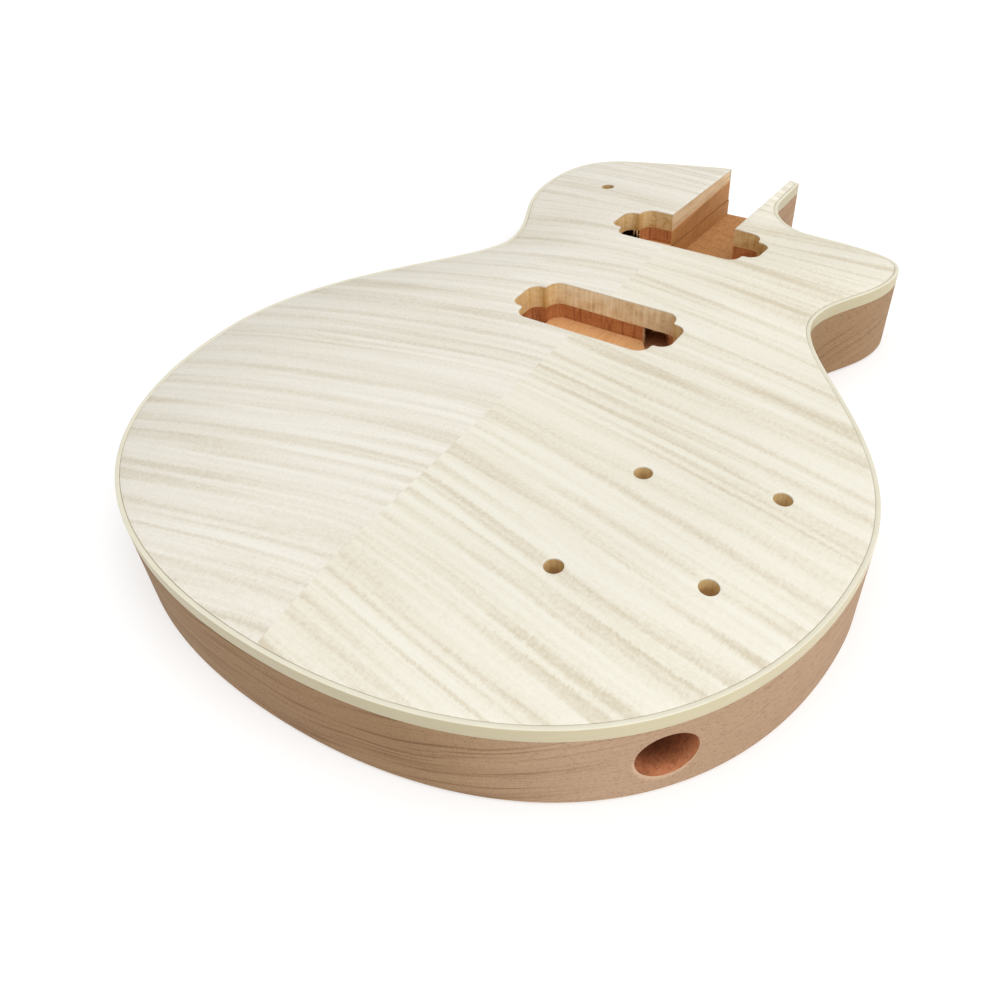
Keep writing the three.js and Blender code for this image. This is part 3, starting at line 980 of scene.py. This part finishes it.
def capsule_loop(places, radius):
    """The outline round several places, anticlockwise, with round corners."""
    parts = []
    for before, here, after in zip(np.roll(places, 1, 0), places, np.roll(places, -1, 0)):
        turn = [math.degrees(math.atan2(*(b - a)[::-1])) - 90 for a, b in ((before, here), (here, after))]
        if turn[1] < turn[0]:
            turn[1] += 360
        parts.append(arc(here, radius, turn[0], turn[1], POT_STEPS))
    return np.concatenate(parts)


def slot_cutter(name, half, near_y, depth):
    """A slot open at the neck end, with a floor that falls away towards it."""
    loop = np.array([(-half, near_y), (half, near_y), (half, CUTTER_END_Y), (-half, CUTTER_END_Y)])
    return prism(name, loop, RIM_HEIGHT - depth - (loop[:, 1] - POCKET_MIDDLE_Y) * TILT, CUTTER_HIGH)


def rout_cutters(name, y):
    """A pickup rout, and its two deeper ears past the rout's ends."""
    whole = rout_loop(y)[::-1]
    made = [prism(name + "_main", whole, ROUT_FLOOR, CUTTER_HIGH)]
    for side in (-1, 1):
        inner, outer = sorted((side * ROUT_HALF[0], side * (EAR_HALF[0] + 1)))
        ear = whole[(whole[:, 0] >= inner) & (whole[:, 0] <= outer)
                    & (np.abs(whole[:, 1] - y) <= EAR_HALF[1] + EAR_FILLET)]
        ear = ear[np.argsort(np.arctan2(ear[:, 1] - y, ear[:, 0] - side * EAR_MIDDLE))]
        made.append(prism(name + "_ear", ear, EAR_FLOOR, CUTTER_HIGH))
    return made


def cavity_cutters(name, outline_at, radius):
    """A cavity in the back, and the wider ledge for its cover."""
    return [prism(name, outline_at(radius), CUTTER_LOW, CAVITY_TOP),
            prism(name + "_ledge", outline_at(radius + LEDGE_WIDTH), CUTTER_LOW, LEDGE_DEPTH)]


def control_loop(radius):
    return capsule_loop(np.array(POTS)[::-1], radius)


def switch_loop(radius):
    return circle_loop(SWITCH, radius, ROUND_STEPS)[::-1]


def channel_line():
    """The wire channel's start, its run and the way to its side, half as long as it is wide."""
    start = np.array(CHANNEL_START)
    run = (np.array(CHANNEL_AIM) - start) * CHANNEL_SHARE
    aside = np.array([-run[1], run[0]]) / np.linalg.norm(run) * CHANNEL_WIDTH / 2
    return start, run, aside


def channel_cutter():
    start, run, aside = channel_line()
    loop = np.array([start - aside, start + run - aside, start + run + aside, start + aside])
    return prism("channel", loop, BACK_TOP - CHANNEL_DEPTH, CAVITY_TOP)


def jack_cutter():
    """A cylinder from outside the rim into the control cavity."""
    place, inward = jack_place()
    start = Vector((*(place - JACK_CUTTER_OUT * inward), JACK_HEIGHT))
    end = Vector((*(place + JACK_LENGTH * inward), JACK_HEIGHT))
    axis = (end - start).normalized()
    side = axis.cross(Vector((0, 0, 1))).normalized()
    up = side.cross(axis)
    angles = np.linspace(0, 2 * math.pi, ROUND_STEPS, endpoint=False)
    rings = [np.array([(p + JACK_RADIUS * (math.cos(a) * side + math.sin(a) * up))[:] for a in angles])
             for p in (start, end)]
    points, faces = stack_mesh(rings)
    return add_piece("jack", points, [f[::-1] for f in faces], [])


def back_cutters():
    """Everything that is cut out of the back."""
    return [
        *rout_cutters("bridge", BRIDGE_ROUT_Y),
        *rout_cutters("neck", NECK_ROUT_Y),
        slot_cutter("heel", POCKET_HALF, NECK_ROUT_Y, POCKET_DEPTH),
        slot_cutter("tenon", POCKET_HALF - TENON_LEDGE, ROUT_START_Y, TENON_DEPTH),
        *cavity_cutters("control", control_loop, CONTROL_RADIUS),
        *cavity_cutters("switch", switch_loop, SWITCH_RADIUS),
        channel_cutter(),
        jack_cutter(),
    ]


def back_board():
    """The board with a rounded lower edge and a fine bevel under the binding."""
    rings = []
    for angle in np.radians(np.linspace(90, 0, EDGE_RINGS)):
        inset = BACK_EDGE * (1 - math.cos(angle))
        rings.append(ring_at(offset(outline, inset), BACK_EDGE * (1 - math.sin(angle))))
    rings.append(ring_at(outline, BACK_TOP - BOARD_BEVEL))
    rings.append(ring_at(offset(outline, BOARD_BEVEL), BACK_TOP))
    return add_piece("back_board", *stack_mesh(rings), [])


def read_rows(items, what):
    """Three numbers for each vertex or face of a mesh."""
    values = np.empty(len(items) * 3)
    items.foreach_get(what, values)
    return values.reshape(-1, 3)


def cut(board, cutters):
    """Takes each cutter out of the board, then removes the cutters."""
    for cutter in cutters:
        modifier = board.modifiers.new(cutter.name, "BOOLEAN")
        modifier.operation = "DIFFERENCE"
        modifier.solver = "MANIFOLD"
        modifier.object = cutter
    bpy.context.view_layer.update()
    evaluated = board.evaluated_get(bpy.context.evaluated_depsgraph_get())
    mesh = bpy.data.meshes.new_from_object(evaluated)
    board.modifiers.clear()
    board.data = mesh
    for cutter in cutters:
        bpy.data.objects.remove(cutter)
    return board


# How near a face's middle is to the wall, floor or height that it belongs to, how far a cut
# face is inside the outline, and how upright the normal of a level face is
NEAR = 0.1
FLUSH = 0.05
RIM_SKIN = 0.6
LEVEL = 0.9


def in_rout(centres):
    """Which places are inside a pickup rout, or on its wall."""
    found = np.zeros(len(centres), bool)
    for y in (BRIDGE_ROUT_Y, NECK_ROUT_Y):
        across, along = np.abs(centres[:, 0]), np.abs(centres[:, 1] - y)
        for half_x, half_y in (ROUT_HALF, EAR_HALF):
            found |= (across < half_x + NEAR) & (along < half_y + NEAR)
    return found


def in_channel(centres):
    """Which places are on the wire channel's walls or floor."""
    start, _, half_aside = channel_line()
    beside = (centres[:, :2] - start) @ half_aside / (CHANNEL_WIDTH / 2) ** 2
    height = centres[:, 2]
    found = (np.abs(beside) < 1.02) & (height < BACK_TOP - FLUSH)
    found &= height > BACK_TOP - CHANNEL_DEPTH - NEAR
    return found & (~in_rout(centres) | (height < EAR_FLOOR - 0.3))


def in_bass_ear(centres):
    """Which places are in the ear at the bass end of the neck rout."""
    across, along = centres[:, 0], np.abs(centres[:, 1] - NECK_ROUT_Y)
    found = (across < -ROUT_HALF[0] - NEAR) & (across > -EAR_HALF[0] - NEAR)
    return found & (along < EAR_HALF[1] + NEAR)


def in_bore(centres, normals, inside):
    """Which places are on the jack bore's wall."""
    mouth, inward = jack_place()
    way = centres[:, :2] - mouth
    aside, ahead = np.abs(way @ np.array([-inward[1], inward[0]])), way @ inward
    up = np.abs(centres[:, 2] - JACK_HEIGHT)
    found = (aside < JACK_RADIUS + NEAR) & (up < JACK_RADIUS + NEAR)
    found &= (ahead > -1) & (ahead < JACK_LENGTH + 1)
    return found & (np.abs(normals[:, :2] @ inward) < 0.2) & (inside > 0.2)


def dress_back(board):
    """Gives each face of the board the look of how it was cut; some looks carry painted shade and one
    carries painted light.
    """
    mesh = board.data
    mesh.materials.clear()
    for look in back_looks:
        mesh.materials.append(look)
    centres, normals = read_rows(mesh.polygons, "center") / MM, read_rows(mesh.polygons, "normal")
    inside = signed_inside(centres[:, :2], outline)
    across, along, height = centres.T
    level = normals[:, 2] > LEVEL
    cut_face = (inside > RIM_SKIN) & (height > FLUSH) & (height < BACK_TOP - FLUSH)
    cut_face &= (inside >= BACK_EDGE + NEAR) | (height >= BACK_EDGE + NEAR)
    pocket = cut_face & (np.abs(across) < POCKET_HALF + NEAR) & (along > ROUT_START_Y + NEAR)
    channel = cut_face & in_channel(centres)
    chosen = np.full(len(centres), RIM)
    chosen[cut_face] = ROUT
    chosen[cut_face & level] = ROUT_FLOOR_FACE
    chosen[pocket] = POCKET
    chosen[pocket & level] = POCKET_FLOOR
    # The tenon ledge gets a painted shadow.
    chosen[pocket & level & (np.abs(across) > POCKET_HALF - TENON_LEDGE)] = LEDGE
    # The wire channel's paler look is painted light.
    chosen[channel] = CHANNEL
    # Painted shade in the neck rout's bass ear and along the wire channel's neck end.
    chosen[cut_face & in_bass_ear(centres) | channel & (along > ROUT_START_Y)] = VOID_SHADE
    chosen[in_bore(centres, normals, inside)] = BORE
    chosen[(height < FLUSH) & (normals[:, 2] < -LEVEL)] = UNDERSIDE
    mesh.polygons.foreach_set("material_index", chosen)


def splinter(base, tip, width):
    """A thin torn fibre: a three-sided spike from a base to its tip."""
    base, tip = Vector(base), Vector(tip)
    along = (tip - base).normalized()
    side = along.cross(Vector((0.3, 0.2, 1))).normalized()
    up = side.cross(along)
    ring = [base + 0.5 * width * (math.cos(a) * side + math.sin(a) * up)
            for a in np.radians((90, 210, 330))]
    return [v[:] for v in ring] + [tip[:]], [(0, 2, 1), (0, 1, 3), (1, 2, 3), (2, 0, 3)]


def torn_fibres():
    """Fibres left hanging where the wire channel breaks out into the routs' walls."""
    chance = np.random.default_rng(FIBRE_SEED)
    ear_y, far_y = NECK_ROUT_Y + EAR_HALF[1], BRIDGE_ROUT_Y + ROUT_HALF[1]
    rows = []

    def hanging(count, x, x_reach, y, sway, lean, fall, fall_reach):
        """Fibres that hang from the top of a wall."""
        for _ in range(count):
            place = (x + x_reach * chance.random(), y, BACK_TOP)
            rows.append((place, (chance.normal(0, sway), lean, -fall - fall_reach * chance.random())))

    def sideways(count, x, y, z, z_reach, out, out_reach, fall_reach):
        """Fibres that stand out from an upright edge of a wall."""
        for _ in range(count):
            place = (x, y, z + z_reach * chance.random())
            way = (out + out_reach * chance.random(), FIBRE_LEAN, -fall_reach * chance.random())
            rows.append((place, way))

    hanging(6, -36.3, -3.4, ear_y - 0.2, 0.5, -0.5, 1.4, 4.2)
    sideways(6, -36.0, ear_y + 0.2, EAR_FLOOR + 1, 11, -0.6, -1.0, 1.8)
    sideways(26, 16.2, far_y + 0.2, ROUT_FLOOR + 0.2, 7.8, 0.6, 1.4, 1.4)
    hanging(4, 17.0, 14.5, far_y + 0.2, 0.4, -0.3, 0.4, 0.6)
    hanging(5, 31.0, 1.5, far_y - 0.6, 0.4, -0.3, 0.8, 1.8)
    points, faces = [], []
    for base, way in rows:
        width = FIBRE_WIDTH + FIBRE_WIDTH * chance.random()
        spike, sides = splinter(base, np.array(base) + way, width)
        faces += [tuple(i + len(points) for i in side) for side in sides]
        points += spike
    return points, faces


def add_fibres(board):
    """The board's mesh and the torn fibres as one piece, the fibres with their own look."""
    points, faces = torn_fibres()
    mesh = board.data
    count = len(mesh.vertices)
    looks = [polygon.material_index for polygon in mesh.polygons] + [len(back_looks)] * len(faces)
    old_faces = [tuple(polygon.vertices) for polygon in mesh.polygons]
    places = np.concatenate([read_rows(mesh.vertices, "co") / MM, points])
    faces = old_faces + [tuple(i + count for i in face) for face in faces]
    bpy.data.objects.remove(board)
    return add_piece("back_board", places, faces, back_looks + [fibre_look], 32.0, looks)


board = cut(back_board(), back_cutters())
dress_back(board)
back = add_fibres(board)

# What stands for what
for piece, node, slot_name in (
    (veneers[0], "veneer_bass", "flame_veneer"),
    (veneers[1], "veneer_treble", "flame_veneer"),
    (caps[0], "cap_bass", "maple_cap"),
    (caps[1], "cap_treble", "maple_cap"),
    (bindings[0], "binding_bass", "binding"),
    (bindings[1], "binding_treble", "binding"),
    (back, "back", "mahogany"),
):
    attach(piece, "root")
    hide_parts(node)


# Studio
FLOOR_REACH = 8.0
FLOOR_DROP = 0.0002
FLOOR_GLOW = 0.4
FLOOR_GREYS = [(0.62, 0.62, 0.62), (0.64, 0.64, 0.64)]
CAMERA_PLACE = (0.197102, -0.323412, 0.284036)
CAMERA_RIGHT = (0.818552, 0.571302, -0.059884)
CAMERA_DOWN = (0.347317, -0.575258, -0.740573)
CAMERA_AHEAD = (-0.457540, 0.585399, -0.669302)
FOCAL_PIXELS = 908.75
PHOTO_PIXELS = 1000
SENSOR = 36.0


def studio_floor():
    """A plain pale floor that glows a little, as the photo's backdrop does."""
    g = Look("studio_floor")
    colour = g.ramp(g.grain((3, 3, 3), 2.0), (0.3, 0.7), FLOOR_GREYS)
    g.shader.inputs["Emission Color"].default_value = (1, 1, 1, 1)
    g.shader.inputs["Emission Strength"].default_value = FLOOR_GLOW
    mesh = bpy.data.meshes.new("studio_floor")
    corners = [(x * FLOOR_REACH, y * FLOOR_REACH, 0) for x, y in ((-1, -1), (1, -1), (1, 1), (-1, 1))]
    mesh.from_pydata(corners, [], [(0, 1, 2, 3)])
    mesh.materials.append(g.finish(colour, 0.9, 0.0))
    floor = add_object("studio_floor", mesh)
    floor.location.z = -FLOOR_DROP


def soft_light(name, towards, spread, strength):
    """A far, broad light that shines the same everywhere."""
    data = bpy.data.lights.new(name, "SUN")
    data.angle = math.radians(spread)
    data.energy = strength * math.pi
    light = add_object(name, data)
    light.rotation_mode = "QUATERNION"
    light.rotation_quaternion = Vector(towards).to_track_quat("-Z", "Y")


def studio_world(level, horizon, side):
    """A pale room: paler towards the horizon and the lit side, and plain white to the camera."""
    world = bpy.data.worlds.new("studio")
    world.use_nodes = True
    g = Graph(world.node_tree)
    background = g.tree.nodes["Background"]
    x, y, z = g.split(g.node("ShaderNodeTexCoord").outputs["Generated"])
    flat = g.minus(1.0, g.math("ABSOLUTE", z))
    lit = g.plus(g.times(x, side), g.times(y, -0.25 * side))
    total = g.plus(g.times(flat, flat, horizon), level, lit)
    seen = g.node("ShaderNodeLightPath").outputs["Is Camera Ray"]
    g.put(background.inputs["Strength"], g.math("MAXIMUM", total, seen))
    background.inputs["Color"].default_value = (1, 1, 1, 1)
    scene.world = world


def photo_camera():
    """The camera that was fitted to the photo."""
    data = bpy.data.cameras.new("photo_camera")
    data.sensor_width = SENSOR
    data.lens = SENSOR * FOCAL_PIXELS / PHOTO_PIXELS
    data.clip_start, data.clip_end = 0.01, 50
    camera = add_object("photo_camera", data)
    turn = Matrix((CAMERA_RIGHT, -Vector(CAMERA_DOWN), -Vector(CAMERA_AHEAD))).transposed()
    camera.matrix_world = Matrix.Translation(CAMERA_PLACE) @ turn.to_4x4()
    scene.camera = camera


studio_floor()
studio_world(level=0.46, horizon=0.2, side=0.28)
soft_light("overhead", towards=(0.05, 0.1, -1), spread=80, strength=0.42)
soft_light("key", towards=(-0.97, 0.23, -1.0), spread=50, strength=0.3)
photo_camera()
scene.view_settings.view_transform = "Standard"
scene.view_settings.look = "None"
